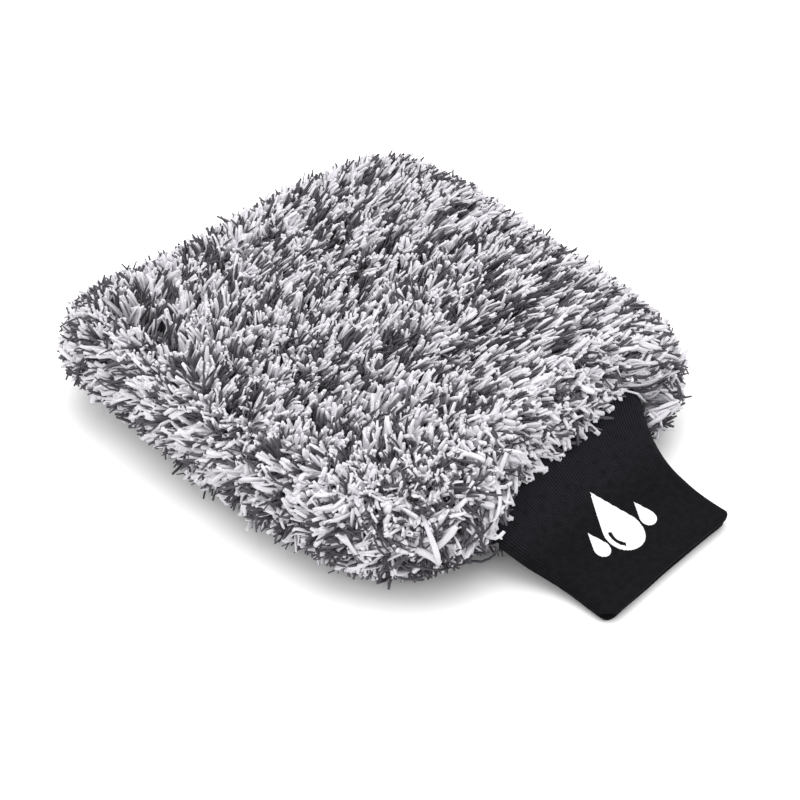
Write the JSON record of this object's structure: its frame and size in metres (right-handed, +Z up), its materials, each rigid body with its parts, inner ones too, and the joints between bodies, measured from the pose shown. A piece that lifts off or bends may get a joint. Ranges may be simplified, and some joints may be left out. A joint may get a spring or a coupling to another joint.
{
  "type": "wash mitt",
  "caption": "Plush wash mitt: thick strand pile on both faces of a lined hand pocket, with a double rib knit cuff that folds at its seam.",
  "frame": {"origin": "under the middle of the whole mitt, on the surface that it lies on", "axes": "+Z up from the surface; +Y along the hand toward the fingertips, so the cuff points along -Y; +X to the right of a hand held palm down"},
  "size_m": [0.2306, 0.292, 0.058],
  "materials": {
    "pile_yarn": "cut plush strands, light lavender grey mixed with dark grey, matte",
    "ground_knit": "fine knit backing, matte",
    "foam": "soft open-cell foam, matte",
    "lining_fabric": "smooth woven polyester",
    "seam_thread": "polyester sewing thread",
    "rib_knit": "black rib knit, matte with a slight sheen",
    "cuff_thread": "black polyester thread",
    "print_ink": "white heat transfer print, matte"
  },
  "bodies": {
    "mitt_body": {"upper_pile": "pile_yarn", "lower_pile": "pile_yarn", "upper_ground_fabric": "ground_knit", "lower_ground_fabric": "ground_knit", "upper_foam_pad": "foam", "lower_foam_pad": "foam", "upper_lining": "lining_fabric", "lower_lining": "lining_fabric", "perimeter_seam_thread": "seam_thread", "lining_seam_thread": "seam_thread", "cuff_join_seam_thread": "seam_thread"},
    "cuff": {"rib_knit_cuff": "rib_knit", "cuff_side_seam_thread": "cuff_thread", "cuff_print": "print_ink"}
  },
  "joints": [
    {"name": "cuff_fold", "type": "hinge", "parent": "mitt_body", "child": "cuff", "pos_m": [0, -0.072, 0.027], "axis": [-1, 0, 0], "range_deg": [0, 45]}
  ]
}
